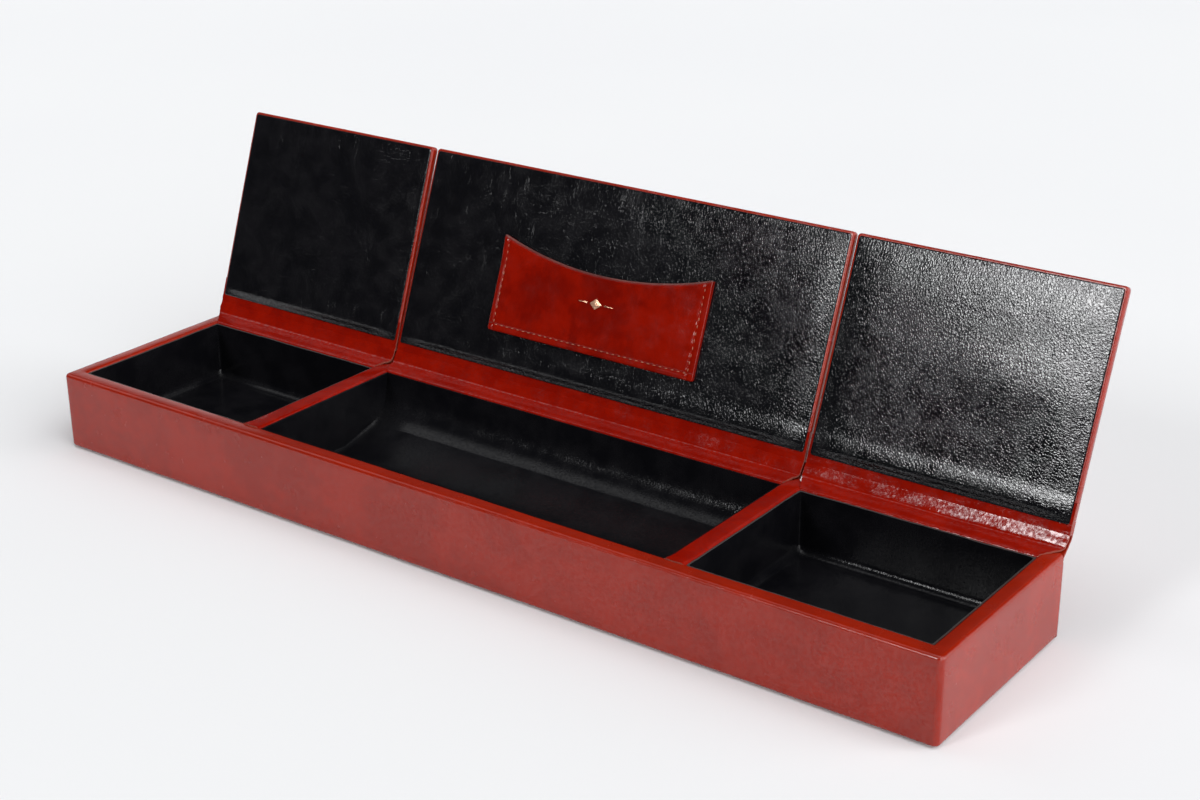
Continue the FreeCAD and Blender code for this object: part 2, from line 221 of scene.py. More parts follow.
def bent_line(corners, radii, step=2.5):
    """Follow straight runs joined by arcs. Returns points and their normals, left of travel."""
    flat = [np.array(c, float) for c in corners]
    runs = [(b - a) / np.linalg.norm(b - a) for a, b in zip(flat, flat[1:])]
    points, normals = [], []

    def add_run(a, b, run):
        count = max(1, round(np.linalg.norm(b - a) / step))
        for i in range(count + 1):
            points.append(a + (b - a) * i / count)
            normals.append(np.array((-run[1], run[0])))

    start = flat[0]
    for corner, radius, before, after in zip(flat[1:-1], radii, runs, runs[1:]):
        turn = math.atan2(before[0] * after[1] - before[1] * after[0], before @ after)
        reach = radius * math.tan(abs(turn) / 2)
        add_run(start, corner - before * reach, before)
        left = np.array((-before[1], before[0])) * math.copysign(1, turn)
        centre = corner - before * reach + left * radius
        pieces = max(3, round(abs(turn) / math.radians(14)))
        for i in range(1, pieces):
            angle = turn * i / pieces
            cos, sin = math.cos(angle), math.sin(angle)
            arm = -left * radius
            points.append(centre + np.array((arm[0] * cos - arm[1] * sin, arm[0] * sin + arm[1] * cos)))
            run = np.array((before[0] * cos - before[1] * sin, before[0] * sin + before[1] * cos))
            normals.append(np.array((-run[1], run[0])))
        start = corner + after * reach
    add_run(start, flat[-1], runs[-1])
    return np.array(points), np.array(normals)


# Meshes


def make_mesh(name, points, faces, materials, face_slots=None, crease=38, merge=0.012):
    """Make one closed, smooth-shaded object from points in millimetres."""
    mesh = bpy.data.meshes.new(name)
    mesh.from_pydata([tuple(p) for p in np.asarray(points) * MM], [], faces)
    if face_slots is not None:
        mesh.polygons.foreach_set("material_index", face_slots)
    work = bmesh.new()
    work.from_mesh(mesh)
    bmesh.ops.remove_doubles(work, verts=work.verts, dist=merge * MM)
    bmesh.ops.dissolve_degenerate(work, edges=work.edges, dist=0.001 * MM)
    bmesh.ops.recalc_face_normals(work, faces=work.faces)
    work.to_mesh(mesh)
    work.free()
    for material in materials:
        mesh.materials.append(material)
    mesh.shade_smooth()
    mesh.set_sharp_from_angle(angle=math.radians(crease))
    thing = bpy.data.objects.new(name, mesh)
    bpy.context.scene.collection.objects.link(thing)
    return thing


def ripple(thing, height, size, seed, where=None):
    """Push a piece's points in and out along their normals by smooth noise."""
    mesh = thing.data
    moved = []
    for vertex in mesh.vertices:
        share = where(vertex.co / MM) if where else 1.0
        push = height * MM * wobble(vertex.co / MM, size, seed) * share
        moved.append(vertex.co + vertex.normal * push)
    for vertex, place in zip(mesh.vertices, moved):
        vertex.co = place
    mesh.update()
    return thing


def grid_faces(rows, columns, first=0):
    """Faces of a grid of points laid out row by row."""
    return [
        (a, a + 1, a + columns + 1, a + columns)
        for r in range(rows - 1)
        for a in range(first + r * columns, first + r * columns + columns - 1)
    ]


def border(rows, columns, first=0):
    """Indices round the edge of a grid, in order."""
    top = [first + c for c in range(columns)]
    right = [first + r * columns + columns - 1 for r in range(1, rows)]
    bottom = [first + (rows - 1) * columns + c for c in range(columns - 2, -1, -1)]
    left = [first + r * columns for r in range(rows - 2, 0, -1)]
    return top + right + bottom + left


def bridge(loop_a, loop_b):
    """Faces between two closed loops of as many points."""
    count = len(loop_a)
    return [
        (loop_a[i], loop_a[(i + 1) % count], loop_b[(i + 1) % count], loop_b[i])
        for i in range(count)
    ]


def inset_point(x, s, xs, ss, inset, corner):
    """Pull a point inside a rectangle with rounded corners."""
    x0, x1, s0, s1 = xs[0] + inset, xs[-1] - inset, ss[0] + inset, ss[-1] - inset
    x, s = min(max(x, x0), x1), min(max(s, s0), s1)
    radius = corner - inset
    if radius <= 0:
        return x, s
    centre_x = min(max(x, x0 + radius), x1 - radius)
    centre_s = min(max(s, s0 + radius), s1 - radius)
    u, v = (x - centre_x) / radius, (s - centre_s) / radius
    return (
        centre_x + radius * u * math.sqrt(1 - v * v / 2),
        centre_s + radius * v * math.sqrt(1 - u * u / 2),
    )


def panel(xs, ss, corner, loops, face_depth):
    """A thin plate with rounded corners, as (x, s, depth) points and faces.

    loops are (inset, depth) from the face's edge round to the flat back.
    """
    columns, rows = len(xs), len(ss)
    points = []
    for s in ss:
        for x in xs:
            on_edge = x in (xs[0], xs[-1]) or s in (ss[0], ss[-1])
            px, ps = inset_point(x, s, xs, ss, loops[0][0], corner)
            points.append((px, ps, loops[0][1] if on_edge else face_depth(px, ps)))
    faces = grid_faces(rows, columns)
    ring = border(rows, columns)
    flat = [(x, s) for s in ss for x in xs]
    for inset, depth in loops[1:]:
        start = len(points)
        points += [(*inset_point(*flat[i], xs, ss, inset, corner), depth) for i in border(rows, columns)]
        new_ring = list(range(start, start + len(ring)))
        faces += bridge(ring, new_ring)
        ring = new_ring
    inset, depth = loops[-1]
    start = len(points)
    points += [(*inset_point(x, s, xs, ss, inset, corner), depth) for x, s in flat]
    faces += bridge(ring, border(rows, columns, start))
    faces += grid_faces(rows, columns, start)
    return np.array(points), faces


def thick_strip(line, normals, half, starts, ends, across, lift):
    """A strip of even thickness over a bent section, as (along, y, z) points and faces.

    Each point of the section runs from its start to its end, split at the shares in across, and
    lift(along, row) raises it.
    Faces at both ends come last, so that they can have a raw-edge finish.
    """
    rows, columns = len(line), len(across)
    front, back = [], []
    for i in range(rows):
        for share in across:
            x = starts[i] + (ends[i] - starts[i]) * share
            rise = lift(x, i)
            front.append((x, *(line[i] + normals[i] * (half + rise))))
            back.append((x, *(line[i] + normals[i] * (rise - half))))
    points = np.array(front + back)
    shift = rows * columns
    faces = grid_faces(rows, columns) + grid_faces(rows, columns, shift)
    edge = border(rows, columns)
    sides = bridge(edge, [i + shift for i in edge])
    raw = [f for f in sides if all(i % columns in (0, columns - 1) for i in f)]
    faces += [f for f in sides if f not in raw]
    slots = [0] * len(faces) + [1] * len(raw)
    return points, faces + raw, slots


def swept_wall(profile, x0, x1, front, back_of, corner, end_scale, side_count, front_count):
    """Sweep a closed (inset, z) section along the left end, the front and the right end.

    back_of(inset) is how far back both ends reach for that inset.
    """
    rings = []
    arc = np.linspace(0, math.pi / 2, 7)
    for inset, z in profile:
        side = inset * end_scale
        radius = max(corner - inset, 0.0)
        left, right, near = x0 + side, x1 - side, front + inset
        bend = near + radius
        back = back_of(side)
        ring = [(left, back + (bend - back) * t, z) for t in np.linspace(0, 1, side_count)]
        ring += [
            (left + radius * (1 - math.cos(a)), bend - radius * math.sin(a), z) for a in arc[1:]
        ]
        run = np.linspace(left + radius, right - radius, front_count)
        ring += [(x, near, z) for x in run[1:]]
        ring += [
            (right - radius * (1 - math.sin(a)), bend - radius * math.cos(a), z) for a in arc[1:]
        ]
        ring += [(right, bend + (back - bend) * t, z) for t in np.linspace(0, 1, side_count)[1:]]
        rings.append(ring)
    columns = len(rings[0])
    points = np.array([p for ring in rings for p in ring])
    faces = []
    for i in range(len(rings)):
        a, b = i * columns, (i + 1) % len(rings) * columns
        faces += [(a + c, a + c + 1, b + c + 1, b + c) for c in range(columns - 1)]
    faces.append(tuple(i * columns for i in range(len(rings))))
    faces.append(tuple(i * columns + columns - 1 for i in reversed(range(len(rings)))))
    return points, faces


# Materials


class Nodes:
    """A short way to write a node tree."""

    def __init__(self, tree):
        self.tree = tree

    def add(self, kind, inputs=None, **settings):
        node = self.tree.nodes.new(kind)
        for key, value in settings.items():
            setattr(node, key, value)
        for key, value in (inputs or {}).items():
            if isinstance(value, bpy.types.NodeSocket):
                self.tree.links.new(value, node.inputs[key])
            else:
                node.inputs[key].default_value = value
        return node

    def math(self, operation, *values):
        return self.add(
            "ShaderNodeMath", dict(enumerate(values)), operation=operation
        ).outputs[0]

    def ramp(self, value, low, high, to_low=0.0, to_high=1.0):
        inputs = {0: value, 1: low, 2: high, 3: to_low, 4: to_high}
        return self.add("ShaderNodeMapRange", inputs, interpolation_type="SMOOTHSTEP").outputs[0]

    def noise(self, place, scale, detail=2.0, roughness=0.5, distortion=0.0):
        inputs = {
            "Vector": place,
            "Scale": scale,
            "Detail": detail,
            "Roughness": roughness,
            "Distortion": distortion,
        }
        return self.add("ShaderNodeTexNoise", inputs).outputs["Fac"]

    def mix(self, share, a, b):
        node = self.add("ShaderNodeMix", data_type="RGBA")
        for index, value in ((0, share), (6, a), (7, b)):
            if isinstance(value, bpy.types.NodeSocket):
                self.tree.links.new(value, node.inputs[index])
            else:
                node.inputs[index].default_value = value
        return node.outputs[2]


def new_material(name, **settings):
    """Start a Principled material. Returns it, its nodes, the shader and the object's coordinates."""
    material = bpy.data.materials.new(name)
    material.use_nodes = True
    nodes = Nodes(material.node_tree)
    shader = material.node_tree.nodes["Principled BSDF"]
    for key, value in settings.items():
        shader.inputs[key.replace("_", " ").title().replace("Ior", "IOR")].default_value = value
    place = nodes.add("ShaderNodeTexCoord").outputs["Object"]
    return material, nodes, shader, place


def bump(nodes, shader, height, distance):
    inputs = {"Height": height, "Distance": distance * MM, "Strength": 1.0}
    normal = nodes.add("ShaderNodeBump", inputs).outputs["Normal"]
    nodes.tree.links.new(normal, shader.inputs["Normal"])


def red_leather(name, light, dark, rough, grain, patch=28.0, sheen=(0.4, 0.6)):
    """Glazed calf leather: dye patches, an uneven gloss and a fine pebbled grain.

    patch is the dye patches' size, and sheen is the lowest and highest level of reflection.
    """
    material, nodes, shader, place = new_material(name, ior=1.5)
    broad = nodes.noise(place, 1 / (patch * MM), 3.0, 0.55, 0.6)
    fine = nodes.noise(place, 1 / (5 * MM), 2.0, 0.5)
    tone = nodes.math("ADD", nodes.math("MULTIPLY", broad, 0.75), nodes.math("MULTIPLY", fine, 0.25))
    share = nodes.ramp(tone, 0.38, 0.62)
    colour = nodes.mix(share, (*dark, 1), (*light, 1))
    nodes.tree.links.new(colour, shader.inputs["Base Color"])
    streak = nodes.noise(place, 1 / (9 * MM), 3.0, 0.6)
    gloss = nodes.ramp(streak, 0.3, 0.7, rough - 0.05, rough + 0.06)
    nodes.tree.links.new(gloss, shader.inputs["Roughness"])
    cells = nodes.add(
        "ShaderNodeTexVoronoi", {"Vector": place, "Scale": 1 / (1.5 * MM)}, feature="F1"
    ).outputs["Distance"]
    skin = nodes.noise(place, 1 / (1.3 * MM), 2.0, 0.5)
    sag = nodes.noise(place, 1 / (6 * MM), 2.0, 0.5)
    height = nodes.math("ADD", nodes.math("MULTIPLY", cells, 0.25), nodes.math("MULTIPLY", skin, 0.8))
    height = nodes.math("ADD", height, nodes.math("MULTIPLY", sag, 0.8))
    glaze = nodes.ramp(nodes.noise(place, 1 / (1.2 * MM), 1.0, 0.5), 0.36, 0.64, *sheen)
    nodes.tree.links.new(glaze, shader.inputs["Specular IOR Level"])
    bump(nodes, shader, height, grain)
    return material


def black_leather(name, rough, grain, creases, sheen):
    """Thin glazed lining leather with a crinkled grain and scattered fine creases.

    sheen is the highest level of reflection.
    """
    material, nodes, shader, place = new_material(name, ior=1.5)
    tone = nodes.ramp(nodes.noise(place, 1 / (14 * MM), 3.0, 0.6), 0.35, 0.65)
    colour = nodes.mix(tone, (0.0035, 0.0035, 0.0045, 1), (0.0060, 0.0058, 0.0070, 1))
    nodes.tree.links.new(colour, shader.inputs["Base Color"])
    warp = nodes.add("ShaderNodeTexNoise", {"Vector": place, "Scale": 1 / (1.6 * MM)})
    push = nodes.add(
        "ShaderNodeVectorMath", {0: warp.outputs["Color"], 1: (0.9 * MM,) * 3}, operation="MULTIPLY"
    ).outputs[0]
    bent = nodes.add("ShaderNodeVectorMath", {0: place, 1: push}, operation="ADD").outputs[0]
    cells = nodes.add(
        "ShaderNodeTexVoronoi", {"Vector": bent, "Scale": 1 / (1.0 * MM)}, feature="DISTANCE_TO_EDGE"
    ).outputs["Distance"]
    valley = nodes.ramp(cells, 0.0, 0.28)
    skin = nodes.noise(place, 1 / (0.9 * MM), 2.0, 0.5)
    height = nodes.math("ADD", nodes.math("MULTIPLY", valley, 0.5), nodes.math("MULTIPLY", skin, 1.1))
    for stretch, seed in (((1.0, 0.3, 0.3), 3.0), ((0.3, 1.0, 1.0), 9.0)):
        line = nodes.add(
            "ShaderNodeMapping", {"Vector": place, "Scale": stretch, "Location": (seed, seed, seed)}
        ).outputs[0]
        field = nodes.noise(line, 1 / (1.9 * MM), 2.0, 0.5, 0.4)
        ridge = nodes.math("ABSOLUTE", nodes.math("SUBTRACT", field, 0.5))
        crease = nodes.ramp(ridge, 0.0, 0.012, 1.0, 0.0)
        few = nodes.ramp(nodes.noise(line, 1 / (6 * MM), 2.0), 0.55, 0.66)
        mark = nodes.math("MULTIPLY", nodes.math("MULTIPLY", crease, few), creases)
        height = nodes.math("ADD", height, mark)
    gloss = nodes.ramp(nodes.noise(place, 1 / (7 * MM), 3.0), 0.3, 0.7, rough - 0.04, rough + 0.05)
    nodes.tree.links.new(gloss, shader.inputs["Roughness"])
    glaze = nodes.ramp(nodes.noise(bent, 1 / (0.8 * MM), 2.0, 0.6), 0.36, 0.64, 0.45 * sheen, sheen)
    nodes.tree.links.new(glaze, shader.inputs["Specular IOR Level"])
    bump(nodes, shader, height, grain)
    return material


def fibre(name, light, dark, scale, rough, grain, stretch=(1, 1, 1)):
    """A matt material of fibres: felt, wadding, card, board, thread or a cut leather edge."""
    material, nodes, shader, place = new_material(name, roughness=rough)
    line = nodes.add("ShaderNodeMapping", {"Vector": place, "Scale": stretch}).outputs[0]
    strands = nodes.noise(line, 1 / (scale * MM), 5.0, 0.7, 0.8)
    colour = nodes.mix(nodes.ramp(strands, 0.3, 0.7), (*dark, 1), (*light, 1))
    nodes.tree.links.new(colour, shader.inputs["Base Color"])
    bump(nodes, shader, strands, grain)
    return material


def gold_foil():
    material, nodes, shader, place = new_material("gold_foil", metallic=1.0)
    worn = nodes.noise(place, 1 / (0.35 * MM), 4.0, 0.7)
    colour = nodes.mix(nodes.ramp(worn, 0.3, 0.7), (0.55, 0.26, 0.15, 1), (0.88, 0.55, 0.38, 1))
    nodes.tree.links.new(colour, shader.inputs["Base Color"])
    nodes.tree.links.new(nodes.ramp(worn, 0.3, 0.7, 0.42, 0.24), shader.inputs["Roughness"])
    bump(nodes, shader, worn, 0.05)
    return material


OUTER = red_leather("outer_leather", (0.285, 0.0115, 0.0009), (0.235, 0.0090, 0.0006), 0.22, 0.007)
RIM = red_leather(
    "rim_leather", (0.265, 0.0060, 0.0008), (0.215, 0.0040, 0.0005), 0.11, 0.036, 12.0, (0.12, 0.62)
)
POCKET = red_leather(
    "pocket_leather", (0.255, 0.0055, 0.0006), (0.165, 0.0030, 0.0004), 0.13, 0.006, 24.0, (0.25, 0.45)
)
POCKET_EDGE = red_leather(
    "burnished_edge", (0.17, 0.050, 0.042), (0.11, 0.028, 0.024), 0.3, 0.006, 20.0, (0.2, 0.4)
)
BLACK = black_leather("lining_leather", 0.11, 0.032, 0.2, 0.75)
TRAY_BLACK = black_leather("tray_lining_leather", 0.16, 0.028, 0.15, 0.3)
RAW = fibre("cut_leather_edge", (0.32, 0.07, 0.045), (0.17, 0.025, 0.014), 0.5, 0.8, 0.08)
RAW_LINING = fibre("cut_lining_edge", (0.055, 0.040, 0.038), (0.016, 0.012, 0.012), 0.5, 0.85, 0.08)
FELT_CLOTH = fibre("base_felt", (0.028, 0.026, 0.025), (0.008, 0.008, 0.008), 0.5, 0.95, 0.25)
WADDING = fibre("lid_wadding", (0.75, 0.74, 0.70), (0.55, 0.54, 0.50), 0.9, 0.95, 0.4)
THREAD = fibre("thread", (0.50, 0.20, 0.12), (0.30, 0.07, 0.035), 0.25, 0.6, 0.08, (1, 3, 3))
BOARD = fibre("case_board", (0.42, 0.31, 0.19), (0.27, 0.18, 0.10), 0.8, 0.85, 0.1, (0.2, 1, 3))
CARD = fibre("card", (0.46, 0.43, 0.38), (0.32, 0.29, 0.25), 0.4, 0.9, 0.05)
FOIL = gold_foil()


def finish_piece(thing, body, material_slot, *nodes):
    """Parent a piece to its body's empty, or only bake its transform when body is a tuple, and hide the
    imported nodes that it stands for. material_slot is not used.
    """
    if isinstance(body, tuple):
        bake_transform(thing)
    else:
        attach(thing, body)
    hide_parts(*nodes)
    return thing


# Case


def back_of_rim(side):
    """The case wrap ends along the slanted edge of the hinge strip at its back corners."""
    return min(BOARD_Y, BACK_INNER + (END_WALL - min(side, END_WALL)) * 1.4)


def build_case_wrap():
    half = LEATHER / 2
    corners = [
        (TURN_UNDER, FELT + half),
        (half, FELT + half),
        (half, RIM_Z - half),
        (FRONT_WALL - half, RIM_Z - half),
        (FRONT_WALL - half, INSIDE_Z),
    ]
    line, normals = bent_line(corners, [0.75, 1.2, 0.9], 3.0)
    profile = list(line + normals * half) + list((line - normals * half)[::-1])
    points, faces = swept_wall(
        profile, -HALF_X, HALF_X, -HALF_Y, back_of_rim, CORNER_RADIUS, END_WALL / FRONT_WALL, 26, 130
    )
    wrap = make_mesh("body_wrap_leather", points, faces, [OUTER])
    ripple(wrap, 0.10, 26.0, 4.0)
    ripple(wrap, 0.05, 8.0, 7.0, lambda p: 1.0 if p.z > RIM_Z - 3 else 0.25)
    return finish_piece(wrap, "box", "outer_leather", "body_wrap_leather")


def build_back_leather():
    xs = stations(-HALF_X, HALF_X, 5.0, 0.8)
    zs = stations(FELT, 31.0, 3.0, 0.8)
    loops = [(0.3, 0.0), (0.1, 0.08), (0.0, 0.3), (0.0, LEATHER)]
    points, faces = panel(xs, zs, 0.8, loops, lambda x, z: 0.0)
    places = np.stack([points[:, 0], HALF_Y - points[:, 2], points[:, 1]], axis=1)
    back = make_mesh("back_wall_leather", places, faces, [OUTER])
    ripple(back, 0.10, 24.0, 11.0)
    return finish_piece(back, "box", "outer_leather", "back_wall_leather")


def build_base_felt():
    xs = stations(-HALF_X + FELT_INSET, HALF_X - FELT_INSET, 4.0, CORNER_RADIUS)
    ys = stations(-HALF_Y + FELT_INSET, HALF_Y - FELT_INSET, 4.0, CORNER_RADIUS)
    loops = [(0.3, 0.0), (0.08, 0.1), (0.0, 0.35), (0.05, 0.7), (0.2, FELT)]

    def nap(x, y):
        return 0.05 + 0.05 * wobble((x, y, 0), 3.0, 2.0)

    points, faces = panel(xs, ys, CORNER_RADIUS, loops, nap)
    felt = make_mesh("base_felt", points, faces, [FELT_CLOTH])
    return finish_piece(felt, "box", "base_felt", "base_felt")


def build_divider(name, side):
    """Cover of one divider. Its cap laps over the front rim and runs back between the hinges."""
    half = LEATHER / 2
    reach = DIVIDER_EDGE - half
    corners = [(-reach, INSIDE_Z), (-reach, RIM_Z - half), (reach, RIM_Z - half), (reach, INSIDE_Z)]
    line, normals = bent_line(corners, [0.75, 0.75], 2.5)
    on_top = smooth_step(RIM_Z - 1.3, RIM_Z - 0.7, line[:, 1])
    inward = 1 - np.abs(line[:, 0]) / DIVIDER_EDGE
    ends = BACK_INNER + on_top * np.minimum(BOARD_Y - BACK_INNER, 0.2 + 9.0 * inward)
    starts = FRONT_SKIN + on_top * (CAP_FRONT_Y - FRONT_SKIN) * (1 - 0.35 * (1 - inward) ** 2)
    shares = stations(0, 1, 0.022, 0.02)

    def lift(y, i):
        over_rim = CAP_RISE * (1 - smooth_step(CAP_FRONT_Y + 0.8, FRONT_SKIN + 1.6, y))
        at_back = smooth_step(36.0, 42.0, y)
        crumple = CAP_CRUMPLE * at_back * wobble((line[i][0], y, 0), 1.4, 5.0 * side)
        return on_top[i] * (over_rim + crumple + 0.03 * wobble((line[i][0], y, 0), 6.0, side))

    points, faces, slots = thick_strip(line, normals, half, starts, ends, shares, lift)
    x = side * DIVIDER_X
    places = np.stack([x + points[:, 1], points[:, 0], points[:, 2]], axis=1)
    cover = make_mesh(f"{name}_divider_leather", places, faces, [RIM, RAW], slots)
    return finish_piece(cover, "box", "rim_leather", f"{name}_divider_leather")


# Compartments


def build_tray(name):
    """Wall lining with a soft cove at its foot, and the floor lining that it runs out on."""
    x0, x1 = COMPARTMENTS[name]
    xs = stations(x0, x1, 3.0, 5.0)
    ys = stations(FRONT_SKIN, BACK_SKIN, 3.0, 5.0)
    flat = [(x, y) for y in ys for x in xs]
    ring = border(len(ys), len(xs))
    arc = np.linspace(0, math.pi / 2, 8)
    section = [(0.0, INSIDE_Z, 0.3), (0.0, LINING_TOP - 0.1, 0.3)]
    section += [(0.12, LINING_TOP, 0.4), (LINING - 0.12, LINING_TOP, 0.9)]
    section += [(LINING, z, 1.0) for z in np.linspace(LINING_TOP - 0.12, FLOOR_Z + COVE, 9)]
    section += [
        (LINING + COVE * (1 - math.cos(a)), FLOOR_Z + 0.03 + COVE * (1 - math.sin(a)), 1.0 + 2.0 * a)
        for a in arc[1:]
    ]
    section += [(LINING + COVE, FLOOR_Z - 0.2, 3.0), (LINING + 0.2, INSIDE_Z, 1.0)]
    points, faces, slots = [], [], []
    for inset, z, radius in section:
        for i in ring:
            x, y = inset_point(*flat[i], xs, ys, inset, inset + radius)
            points.append((x, y, z))
    count = len(ring)
    for k in range(len(section)):
        a, b = k * count, (k + 1) % len(section) * count
        faces += bridge(list(range(a, a + count)), list(range(b, b + count)))
        slots += [1 if k in (1, 2, 3) else 0] * count
    points = np.array(points)
    for p in points:
        if p[2] > LINING_TOP - 0.3:
            p[2] += 0.16 * wobble(p, 9.0, 6.0) + 0.08 * wobble(p, 2.0, 3.0)
    walls = make_mesh(f"{name}_wall_lining", points, faces, [TRAY_BLACK, RAW_LINING], slots)
    ripple(walls, 0.22, 16.0, 8.0, lambda p: 1.0 if p.z < LINING_TOP - 2 else 0.2)
    finish_piece(walls, "box", "lining_leather", f"{name}_wall_lining")

    floor_xs = stations(x0 + LINING, x1 - LINING, 3.0, 1.0)
    floor_ys = stations(FRONT_SKIN + LINING, BACK_SKIN - LINING, 3.0, 1.0)

    def sag(x, y):
        return 0.12 * wobble((x, y, 0), 18.0, 2.0)

    loops = [(0.3, 0.1), (0.0, 0.3), (0.0, LINING)]
    points, faces = panel(floor_xs, floor_ys, 0.6, loops, sag)
    points[:, 2] = FLOOR_Z - points[:, 2]
    floor = make_mesh(f"{name}_floor_lining", points, faces, [TRAY_BLACK])
    finish_piece(floor, "box", "lining_leather", f"{name}_floor_lining")


def trough_section():
    """The trough's middle line from the front wall's top to the back wall's top."""
    below = LINING / 2
    dip = TROUGH_FLOOR_Z - TROUGH_RADIUS * (1 / math.cos(TROUGH_SLOPE) - 1)
    drop = below / math.cos(TROUGH_SLOPE)
    foot_y = TROUGH_FOOT_Y + below
    foot_z = dip - drop + foot_y * math.tan(TROUGH_SLOPE)
    top_y = TROUGH_TOP_Y + below - 0.05
    near_half = [(-top_y, LINING_TOP), (-foot_y, foot_z), (0, dip - drop)]
    corners = near_half + [(foot_y, foot_z), (top_y, LINING_TOP)]
    corner = TROUGH_CORNER + below
    return bent_line(corners, [corner, TROUGH_RADIUS + below, corner], 2.5)


def build_trough():
    x0, x1 = COMPARTMENTS["centre"]
    x0, x1 = x0 + LINING, x1 - LINING
    line, normals = trough_section()
    rows = len(line)
    across = (stations(x0, x1, 3.0, 3.0) - x0) / (x1 - x0)

    def lift(x, i):
        near_end = min(x - x0, x1 - x)
        turn_up = END_TURN_UP * max(0.0, 1 - near_end / END_TURN_LENGTH) ** 2
        place = (x * 0.3, line[i][0], line[i][1])
        puckers = END_PUCKERS * math.exp(-near_end / 9.0) * wobble(place, 2.6, 4.0)
        sag = 0.22 * wobble((x, line[i][0], line[i][1]), 22.0, 9.0)
        steep = smooth_step(26.0, 31.0, abs(line[i][0]))
        inside = smooth_step(0, 6, min(i, rows - 1 - i))
        return (turn_up * (1 - steep) + puckers + sag) * inside

    points, faces, slots = thick_strip(
        line, normals, LINING / 2, np.full(rows, x0), np.full(rows, x1), across, lift
    )
    trough = make_mesh("trough_lining", points, faces, [TRAY_BLACK, TRAY_BLACK], slots)
    finish_piece(trough, "box", "lining_leather", "trough_lining")

    for name, side in (("left", -1), ("right", 1)):
        ys = stations(FRONT_SKIN, BACK_SKIN, 3.0, 0.6)
        zs = stations(INSIDE_Z, LINING_TOP, 3.0, 0.6)
        loops = [(0.2, 0.0), (0.0, 0.2), (0.0, LINING)]
        points, faces = panel(ys, zs, 0.4, loops, lambda y, z: 0.1 * wobble((y, z, 0), 12.0, 5.0))
        inner_x = COMPARTMENTS["centre"][1] - LINING
        places = np.stack([side * (inner_x + points[:, 2]), points[:, 0], points[:, 1]], axis=1)
        end = make_mesh(f"trough_{name}_end_lining", places, faces, [TRAY_BLACK])
        finish_piece(end, "box", "lining_leather", f"trough_{name}_end_lining")


# Leather hinges


def build_inner_hinge(name):
    """Red strip from inside the back wall, over its rim and up under the lid's lining."""
    half = HINGE_LEATHER / 2
    wall_y = BACK_INNER - half
    corners = [
        (wall_y, INSIDE_Z),
        (wall_y, RIM_Z - LEATHER + half),
        GUTTER_CORNER,
        lid_point(name, -LID_TAIL + 0.8, HINGE_DEPTH),
        lid_point(name, STRIP_END_S, HINGE_DEPTH),
    ]
    line, normals = bent_line(corners, [0.75, 2.2, 1.5], 0.9)
    inner, outer = COMPARTMENTS[name], LIDS[name]
    tail_y = lid_point(name, -LID_TAIL, 0)[0]
    slant = np.clip((line[:, 0] - BACK_INNER) / (tail_y - BACK_INNER), 0, 1)
    slant = np.where(line[:, 1] < RIM_Z - 2, 0.0, slant)
    lap = RIM_LAP * smooth_step(RIM_Z - 2, RIM_Z, line[:, 1]) * (1 - smooth_step(0.85, 1.0, slant))
    starts = inner[0] + (outer[0] - inner[0]) * slant - lap
    ends = inner[1] + (outer[1] - inner[1]) * slant + lap
    across = stations(0, 1, 2.2 / (outer[1] - outer[0]), 5.0 / (outer[1] - outer[0]))
    in_gutter = smooth_step(RIM_Z - 1, RIM_Z, line[:, 1]) * (
        1 - smooth_step(lid_point(name, -1.5, 0)[1], lid_point(name, 0, 0)[1], line[:, 1])
    )
    seed = SEEDS[name]

    def lift(x, i):
        near_end = min(x - starts[i], ends[i] - x)
        place = (x, line[i][0] * 1.5, line[i][1] * 1.5)
        crumple = END_CRUMPLE * math.exp(-near_end / 3.0) * wobble(place, 2.0, seed)
        soft = 0.09 * wobble(place, 9.0, seed + 4) + 0.05 * wobble(place, 3.0, seed + 8)
        off_lid = 1 - smooth_step(0.5, 0.9, slant[i])
        over_rim = RIM_LAP_RISE * math.exp(-((near_end / 2.2) ** 2)) * off_lid
        return in_gutter[i] * (crumple + soft + over_rim)

    points, faces, slots = thick_strip(line, normals, half, starts, ends, across, lift)
    strip = make_mesh(f"{name}_inner_hinge", points, faces, [RIM, RAW], slots)
    start, end = (Vector(place) * MM for place in INNER_FOLD)
    finish_piece(
        strip, ("box", f"{name}_lid", start, end), "rim_leather", f"{name}_inner_hinge"
    )


def build_outer_hinge(name):
    """Spine strip from the back wall round the lid's tail and onto its back."""
    half = HINGE_LEATHER / 2
    middle = LID_THICKNESS - LEATHER / 2
    corners = [
        (HALF_Y - LEATHER / 2, 31.05),
        (HALF_Y - LEATHER / 2, 32.2),
        lid_point(name, -LID_TAIL - HINGE_LEATHER, middle),
        lid_point(name, SPINE_END_S, middle),
    ]
    line, normals = bent_line(corners, [1.5, 1.4], 0.8)
    rows = len(line)
    x0, x1 = LIDS[name]
    across = stations(0, 1, 3.0 / (x1 - x0), 2.0 / (x1 - x0))
    seed = SEEDS[name] + 3

    def lift(x, i):
        middle_share = math.sin(math.pi * i / (rows - 1))
        near_end = min(x - x0, x1 - x)
        place = (x, line[i][0] * 2, line[i][1] * 2)
        crumple = 0.2 * math.exp(-near_end / 3.0) * wobble(place, 2.2, seed)
        return middle_share * (crumple + 0.07 * wobble(place, 8.0, seed))

    starts, ends = np.full(rows, x0 + 0.15), np.full(rows, x1 - 0.15)
    points, faces, slots = thick_strip(line, normals, half, starts, ends, across, lift)
    strip = make_mesh(f"{name}_outer_hinge", points, faces, [OUTER, RAW], slots)
    start, end = (Vector(place) * MM for place in OUTER_FOLD)
    finish_piece(
        strip, ("box", f"{name}_lid", start, end), "outer_leather", f"{name}_outer_hinge"
    )


# Lids


